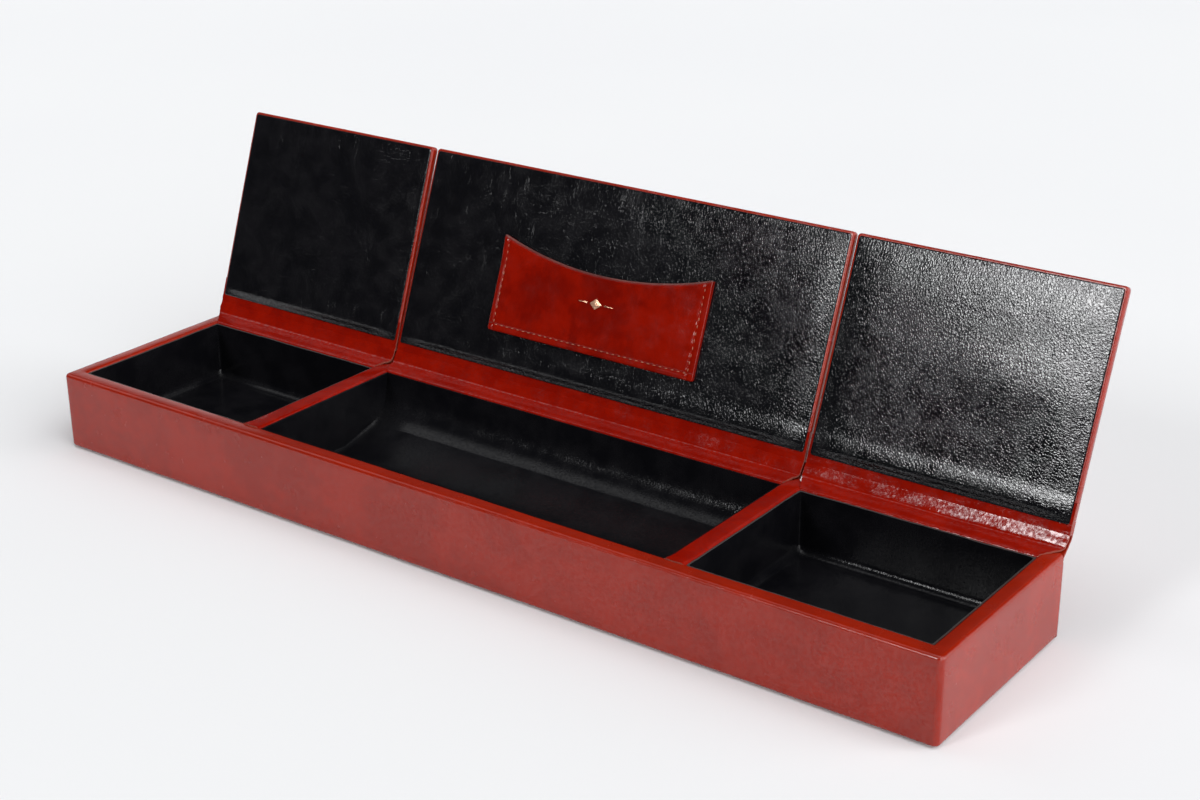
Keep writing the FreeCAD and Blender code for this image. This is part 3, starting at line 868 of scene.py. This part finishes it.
def build_lid_cover(name):
    x0, x1 = LIDS[name]
    xs = stations(x0, x1, 5.0, 1.6, (x0 + LID_TURN_IN, x1 - LID_TURN_IN))
    rows = (SPINE_END_S, SPINE_END_S + 0.12, STRIP_END_S, STRIP_END_S + 0.12, LID_LENGTH - LID_TURN_IN)
    ss = stations(-LID_TAIL, LID_LENGTH, 5.0, 1.6, rows)
    thick = LID_THICKNESS
    loops = [(0.9, thick), (0.5, thick - 0.07), (0.15, thick - 0.35), (0.0, thick - 0.8)]
    loops += [(0.0, LINING + 0.65), (0.08, LINING + 0.3), (0.3, LINING + 0.06), (0.6, LINING)]
    loops += [(LID_TURN_IN - 0.1, LINING), (LID_TURN_IN, LINING + LEATHER)]
    loops += [(LEATHER, LID_BOARD_DEPTH[0]), (LEATHER, LID_BOARD_DEPTH[1])]

    def back(x, s):
        return thick + 0.05 * wobble((x, s, 0), 22.0, x0) + 0.03 * wobble((x, s, 0), 7.0, x0)

    points, faces = panel(xs, ss, 1.5, loops, back)
    s, depth = points[:, 1], points[:, 2]
    under_spine = s < SPINE_END_S + 0.06
    depth[under_spine] = np.minimum(depth[under_spine], LID_BOARD_DEPTH[1] + 0.02)
    under_strip = s < STRIP_END_S + 0.06
    depth[under_strip] = np.maximum(depth[under_strip], LID_BOARD_DEPTH[0] - 0.02)
    cover = make_mesh(f"{name}_lid_cover", on_lid(name, points), faces, [OUTER], merge=0.008)
    return finish_piece(cover, f"{name}_lid", "outer_leather", f"{name}_lid_cover")


def build_lid_padding(name):
    """Thin wadding in the window of the turned-in edges, a little proud of them."""
    x0, x1 = LIDS[name]
    x0, x1 = x0 + LID_TURN_IN + 0.1, x1 - LID_TURN_IN - 0.1
    s0, s1 = STRIP_END_S + 0.3, LID_LENGTH - LID_TURN_IN - 0.1
    loops = [(0.5, 0.1), (0.1, 0.3), (0.0, 0.6), (0.2, LEATHER - 0.02)]

    def crown(x, s):
        edge = min(x - x0, x1 - x, s - s0, s1 - s)
        return 0.1 - 0.12 * float(smooth_step(0, 12, edge)) + 0.04 * wobble((x, s, 0), 4.0, x0)

    points, faces = panel(stations(x0, x1, 3.0, 1.5), stations(s0, s1, 3.0, 1.5), 2.0, loops, crown)
    points[:, 2] += LINING
    pad = make_mesh(f"{name}_lid_padding", on_lid(name, points), faces, [WADDING])
    finish_piece(pad, f"{name}_lid", "lid_padding", f"{name}_lid_padding")


def build_lid_lining(name):
    """Black lining, crowned over the wadding, with a ridge at the hinge strip and a slack swell."""
    x0, x1 = LIDS[name]
    x0, x1 = x0 + LINING_INSET, x1 - LINING_INSET
    s1 = LID_LENGTH - LINING_INSET
    low = LINING_EDGE_DEPTH
    loops = [(0.45, low + 0.02), (0.2, low + 0.04), (0.03, low + 0.12), (0.0, 0.6), (0.08, LINING)]

    def crown(x, s):
        edge = 1 / (1 / (x - x0 + 0.01) ** 2 + 1 / (x1 - x + 0.01) ** 2 + 1 / (s1 - s + 0.01) ** 2)
        edge = math.sqrt(edge)
        rise = 0.5 * (1 - math.exp(-((edge / 8.0) ** 1.5)))
        foot = float(smooth_step(0.0, 4.0, s))
        ridge = LINING_RIDGE * foot * (1 - float(smooth_step(6.0, 11.0, s)))
        swell = 0.06 * wobble((x * 0.8, s, 0), 24.0, 12.0) + 0.03 * wobble((x, s, 0), 9.0, 3.0)
        slack_x = (x - LIDS["right"][1] + SLACK_FROM_END) / SLACK_SIZE[0]
        slack_s = (s - SLACK_S) / SLACK_SIZE[1]
        swell += SLACK_HEIGHT * math.exp(-(slack_x**2) - slack_s**2)
        return low + 0.02 - foot * (rise * 0.9 + swell * float(smooth_step(0, 9, min(edge, s)))) - ridge

    xs, ss = stations(x0, x1, 1.5, 2.5), stations(0.0, s1, 1.5, 2.5)
    points, faces = panel(xs, ss, LINING_INSET, loops, crown)
    lining = make_mesh(f"{name}_lid_lining", on_lid(name, points), faces, [BLACK])
    finish_piece(lining, f"{name}_lid", "lining_leather", f"{name}_lid_lining")


# Card pocket


def hollow_top(points):
    """Draw the pocket's top edge down to its hollow curve."""
    centre, half = sum(POCKET_X) / 2, (POCKET_X[1] - POCKET_X[0]) / 2
    radius = (half**2 + POCKET_SAG**2) / (2 * POCKET_SAG)
    share = (points[:, 1] - POCKET_S[0]) / (POCKET_S[1] - POCKET_S[0])
    across = np.clip(points[:, 0] - centre, -half, half)
    sag = np.sqrt(radius**2 - across**2) - (radius - POCKET_SAG)
    points[:, 1] -= sag * np.clip(share, 0, 1) ** 1.3
    return points


def stand_off(points):
    """Stand the pocket's top corners away from the lid. Returns each point's share of that."""
    outward = smooth_step(POCKET_S[1] - MOUTH_LENGTH, POCKET_S[1], points[:, 1])
    for corner_x, strength in zip(POCKET_X, CORNER_STAND_OFF):
        points[:, 2] -= strength * outward * np.exp(-((points[:, 0] - corner_x) ** 2) / 60)
    return outward


def stitch_lines():
    """Return x of both side seams and s of the lower one."""
    left, right = POCKET_X[0] + STITCH_INSET, POCKET_X[1] - STITCH_INSET
    return left, right, POCKET_S[0] + STITCH_INSET


def build_pocket():
    left, right, low = stitch_lines()
    close = [line + d for line in (left, right) for d in NEAR_STITCHES]
    xs = stations(*POCKET_X, 1.1, 1.2, close)
    close = [low + d for d in NEAR_STITCHES]
    top = POCKET_S[1]
    close += [top - d for d in (0.8, 1.1, 1.4, 1.7, 2.0, 2.6)]
    ss = stations(*POCKET_S, 1.1, 1.2, close)
    loops = [(0.45, 0.05), (0.2, 0.12), (0.03, 0.32), (0.0, 0.6), (0.1, 0.95)]

    def relief(x, s):
        seam = min(abs(x - left), abs(x - right), abs(s - low))
        groove = SEAM_GROOVE[0] * math.exp(-((seam / SEAM_GROOVE[1]) ** 2))
        from_crease = top - s - TOP_CREASE_BELOW
        crease = TOP_CREASE[0] * math.exp(-((from_crease / TOP_CREASE[1]) ** 2))
        inside = float(smooth_step(0.6, 6, min(x - left, right - x, s - low)))
        puff = PUFF * inside * float(smooth_step(0, 14, min(x - left, right - x)))
        to_seam = right - x
        pull = math.exp(-to_seam / 7.0) * (1 - math.exp(-to_seam / 0.8)) if to_seam > 0 else 0.0
        folds = SEAM_FOLDS * pull * wobble((x * 0.25, s, 0), 1.7, 3.0)
        soft = SOFT_WAVES * inside * wobble((x, s, 0), 7.0, 2.0)
        return groove + crease - puff - folds - soft

    points, faces = panel(xs, ss, 0.9, loops, relief)
    slots = [int(np.mean(points[list(face), 1]) > POCKET_S[1] - BURNISHED) for face in faces]
    points[:, 2] += POCKET_FACE
    outward = stand_off(points)
    near_middle = np.exp(-((points[:, 0] - FOIL_X) ** 2) / 1200)
    points[:, 2] -= MIDDLE_STAND_OFF * outward * near_middle
    pocket = make_mesh(
        "card_pocket_panel", on_lid("centre", hollow_top(points)), faces, [POCKET, POCKET_EDGE], slots
    )
    finish_piece(pocket, "centre_lid", "pocket_leather", "card_pocket_panel")

    edge = [(0.35, -HEM), (0.05, -HEM + 0.1), (0.0, -HEM / 2), (0.05, -0.08), (0.3, 0.35)]
    edge += [(HEM_WIDTH, 0.35), (HEM_WIDTH, -HEM)]
    points, faces = swept_wall(
        edge, *POCKET_X, POCKET_S[0], lambda side: POCKET_S[1] - 0.4, 0.9, 1.0, 30, 60
    )
    hem = make_mesh("card_pocket_hem", on_lid("centre", hollow_top(points)), faces, [POCKET])
    finish_piece(hem, "centre_lid", "pocket_leather", "card_pocket_hem")


def stitch_mesh(x, s, angle, length, width, height):
    """One sewn stitch: a bowed thread that dives into the leather at both ends."""
    around, along = 8, 7
    points, faces = [], []
    for i in range(along):
        t = i / (along - 1) * 2 - 1
        size = math.sqrt(max(0.02, 1 - abs(t) ** 3))
        for k in range(around):
            turn = 2 * math.pi * k / around
            across = width / 2 * size * math.cos(turn)
            rise = height * (1 - t * t) * 0.8 + width / 2 * size * math.sin(turn)
            u = t * length / 2
            px = x + u * math.cos(angle) - across * math.sin(angle)
            ps = s + u * math.sin(angle) + across * math.cos(angle)
            points.append((px, ps, -rise))
    for i in range(along - 1):
        a, b = i * around, (i + 1) * around
        faces += bridge(list(range(a, a + around)), list(range(b, b + around)))
    faces.append(tuple(range(around)))
    faces.append(tuple(reversed(range((along - 1) * around, along * around))))
    return points, faces


def build_stitching():
    left, right, low = stitch_lines()
    across = round((right - left) / STITCH_PITCH)
    upward = math.floor((POCKET_S[1] - low - STITCH_INSET) / STITCH_PITCH)
    step = (right - left) / across
    seats = [(left + step * (i + 0.5), low, 0.0) for i in range(across)]
    for x in (left, right):
        seats += [(x, low + STITCH_PITCH * (i + 0.5), math.pi / 2) for i in range(upward)]
    points, faces = [], []
    for i, (x, s, angle) in enumerate(seats):
        jitter = 0.06 * wobble((i * 1.7, 0.3, 0), 1.0, 4.0)
        body, sides = stitch_mesh(x, s + jitter, angle + STITCH_TILT + jitter, *STITCH_SIZE)
        first = len(points)
        points += body
        faces += [tuple(first + k for k in f) for f in sides]
    points = np.array(points)
    points[:, 2] += POCKET_FACE + 0.18
    stand_off(points)
    thread = make_mesh(
        "card_pocket_stitching", on_lid("centre", points), faces, [THREAD], crease=60, merge=0.001
    )
    finish_piece(thread, "centre_lid", "thread", "card_pocket_stitching")


def build_foil():
    """Foil-stamped lozenge between two short rules, pressed into the pocket's face."""
    shapes = [[(3.0, 0.0), (0.0, 2.2), (-3.0, 0.0), (0.0, -2.2)]]
    for side in (-1, 1):
        near, far = side * 4.2, side * 8.7
        shapes.append([(near, -0.25), (far, -0.13), (far, 0.13), (near, 0.25)])
    points, faces = [], []
    for shape in shapes:
        middle = np.mean(shape, axis=0)
        first = len(points)
        rings = [(1.0, 0.1), (1.0, -0.05), (0.93, -0.09), (0.0, -0.09)]
        count = len(shape) * 4
        for scale, depth in rings:
            for i in range(count):
                a, b = np.array(shape[i // 4]), np.array(shape[(i // 4 + 1) % len(shape)])
                place = middle + (a + (b - a) * (i % 4) / 4 - middle) * scale
                level = POCKET_FACE - FACE_RISE_AT_FOIL + depth
                points.append((FOIL_X + place[0], FOIL_S + place[1], level))
        for k in range(len(rings) - 1):
            a, b = first + k * count, first + (k + 1) * count
            faces += bridge(list(range(a, a + count)), list(range(b, b + count)))
        faces.append(tuple(range(first, first + count)))
    foil = make_mesh(
        "card_pocket_foil_ornament", on_lid("centre", points), faces, [FOIL], merge=0.001
    )
    finish_piece(foil, "centre_lid", "gold_foil", "card_pocket_foil_ornament")


# Carried-over boards and cards


def paint_boards():
    for name, node in frame["nodes"].items():
        material = CARD if "card" in name or "former" in name else BOARD
        node.data.materials.clear()
        node.data.materials.append(material)


# Floor, light and camera


FLOOR_SHADES = ((0.80, 0.805, 0.815, 1), (0.815, 0.82, 0.825, 1))

# Lit zones of the studio, in degrees: (azimuth rise, fall), (elevation rise, fall), level.
# Azimuth is left of the front.
SOFTBOX = (((6, 14), (24, 27)), ((20.3, 21.8), (33, 36)), 18.0)
RIGHT_SIDE = (((-150, -120), (-50, -30)), ((-20, 0), (55, 75)), 2.8)
LEFT_SIDE = (((52, 75), (96, 112)), ((24, 34), (60, 75)), 0.95)
SOFTBOX_LEAN = 0.04
SOFTBOX_LEAN_FROM = 19
TOP_RISE = (62, 76)
TOP_LEVEL = 1.9
BACKDROP_RISE = (80, 100)
BACKDROP_FALL = (20.5, 24)
BACKDROP_LEVEL = 0.85
BASE_LEVEL = 0.02
STUDIO_TINT = (0.985, 0.99, 1.0, 1)
SEEN_BACKDROP = (0.87, 0.87, 0.88, 1)

CAMERA_PLACE = (0.4572, -0.5583, 0.3543)
CAMERA_FORWARD = (-0.5509, 0.7421, -0.3819)
CAMERA_RIGHT = (0.8048, 0.5935, -0.0076)
CAMERA_LENS = 60.9


def build_floor():
    floor_mesh = bpy.data.meshes.new("floor")
    size = 6.0
    floor_mesh.from_pydata(
        [(-size, -size, 0), (size, -size, 0), (size, size, 0), (-size, size, 0)], [], [(0, 1, 2, 3)]
    )
    floor = bpy.data.objects.new("floor", floor_mesh)
    bpy.context.scene.collection.objects.link(floor)
    material, nodes, shader, place = new_material("floor_paper", roughness=0.9)
    shader.inputs["Specular IOR Level"].default_value = 0.0
    shade = nodes.ramp(nodes.noise(place, 2.0, 2.0), 0.3, 0.7)
    colour = nodes.mix(shade, *FLOOR_SHADES)
    nodes.tree.links.new(colour, shader.inputs["Base Color"])
    floor_mesh.materials.append(material)


def build_light():
    """A studio of soft light by direction: a front softbox, a bright right side, a weaker left
    side, a soft top and a pale backdrop.
    """
    world = bpy.data.worlds.new("studio")
    bpy.context.scene.world = world
    world.use_nodes = True
    world.node_tree.nodes.clear()
    nodes = Nodes(world.node_tree)
    way = nodes.add("ShaderNodeTexCoord").outputs["Generated"]
    split = nodes.add("ShaderNodeSeparateXYZ", {0: way}).outputs
    leftward = nodes.math("MULTIPLY", split[0], -1.0)
    forward = nodes.math("MULTIPLY", split[1], -1.0)
    left_of_front = nodes.math("ARCTAN2", leftward, forward)
    height = nodes.math("ARCSINE", split[2])

    def band(value, rise, fall):
        """1 between two pairs of angles in degrees, with soft sides."""
        up = nodes.ramp(value, *[math.radians(a) for a in rise])
        down = nodes.ramp(value, *[math.radians(a) for a in fall], 1.0, 0.0)
        return nodes.math("MULTIPLY", up, down)

    def zone(sideways, azimuth, elevation, level):
        """Light from one part of the studio, placed by a sideways angle and the height."""
        shape = nodes.math("MULTIPLY", band(sideways, *azimuth), band(height, *elevation))
        return nodes.math("MULTIPLY", shape, level)

    above = nodes.math("SUBTRACT", height, math.radians(SOFTBOX_LEAN_FROM))
    across = nodes.math("SUBTRACT", left_of_front, nodes.math("MULTIPLY", above, SOFTBOX_LEAN))
    softbox = zone(across, *SOFTBOX)
    side = zone(left_of_front, *RIGHT_SIDE)
    side_left = zone(left_of_front, *LEFT_SIDE)
    low, high = (math.radians(a) for a in TOP_RISE)
    top = nodes.math("MULTIPLY", nodes.ramp(height, low, high), TOP_LEVEL)
    low, high = (math.radians(a) for a in BACKDROP_RISE)
    behind = nodes.ramp(nodes.math("ABSOLUTE", left_of_front), low, high)
    low, high = (math.radians(a) for a in BACKDROP_FALL)
    backdrop = nodes.math("MULTIPLY", behind, nodes.ramp(height, low, high, BACKDROP_LEVEL, 0.0))
    total = BASE_LEVEL
    for part in (softbox, side, side_left, top, backdrop):
        total = nodes.math("ADD", part, total)
    studio = nodes.add("ShaderNodeBackground", {0: STUDIO_TINT, 1: total}).outputs[0]
    plain = nodes.add("ShaderNodeBackground", {0: SEEN_BACKDROP, 1: 1.0}).outputs[0]
    seen = nodes.add("ShaderNodeLightPath").outputs["Is Camera Ray"]
    both = nodes.add("ShaderNodeMixShader", {0: seen, 1: studio, 2: plain}).outputs[0]
    output = nodes.add("ShaderNodeOutputWorld", {0: both})
    output.is_active_output = True
    bpy.context.scene.view_settings.view_transform = "Standard"


def build_camera():
    camera_data = bpy.data.cameras.new("camera")
    camera_data.lens = CAMERA_LENS
    camera_data.sensor_width = 36.0
    camera_data.clip_start = 0.01
    camera_data.clip_end = 50.0
    camera = bpy.data.objects.new("camera", camera_data)
    forward = Vector(CAMERA_FORWARD).normalized()
    right = Vector(CAMERA_RIGHT).normalized()
    up = right.cross(forward).normalized()
    right = forward.cross(up)
    camera.matrix_world = Matrix.Translation(CAMERA_PLACE) @ Matrix(
        (right, up, -forward)
    ).transposed().to_4x4()
    bpy.context.scene.collection.objects.link(camera)
    bpy.context.scene.camera = camera


paint_boards()
build_case_wrap()
build_back_leather()
build_base_felt()
build_trough()
for side_name, side_sign in (("left", -1), ("right", 1)):
    build_divider(side_name, side_sign)
    build_tray(side_name)
for lid_name in LIDS:
    build_inner_hinge(lid_name)
    build_outer_hinge(lid_name)
    build_lid_cover(lid_name)
    build_lid_padding(lid_name)
    build_lid_lining(lid_name)
build_pocket()
build_stitching()
build_foil()
build_floor()
build_light()
build_camera()
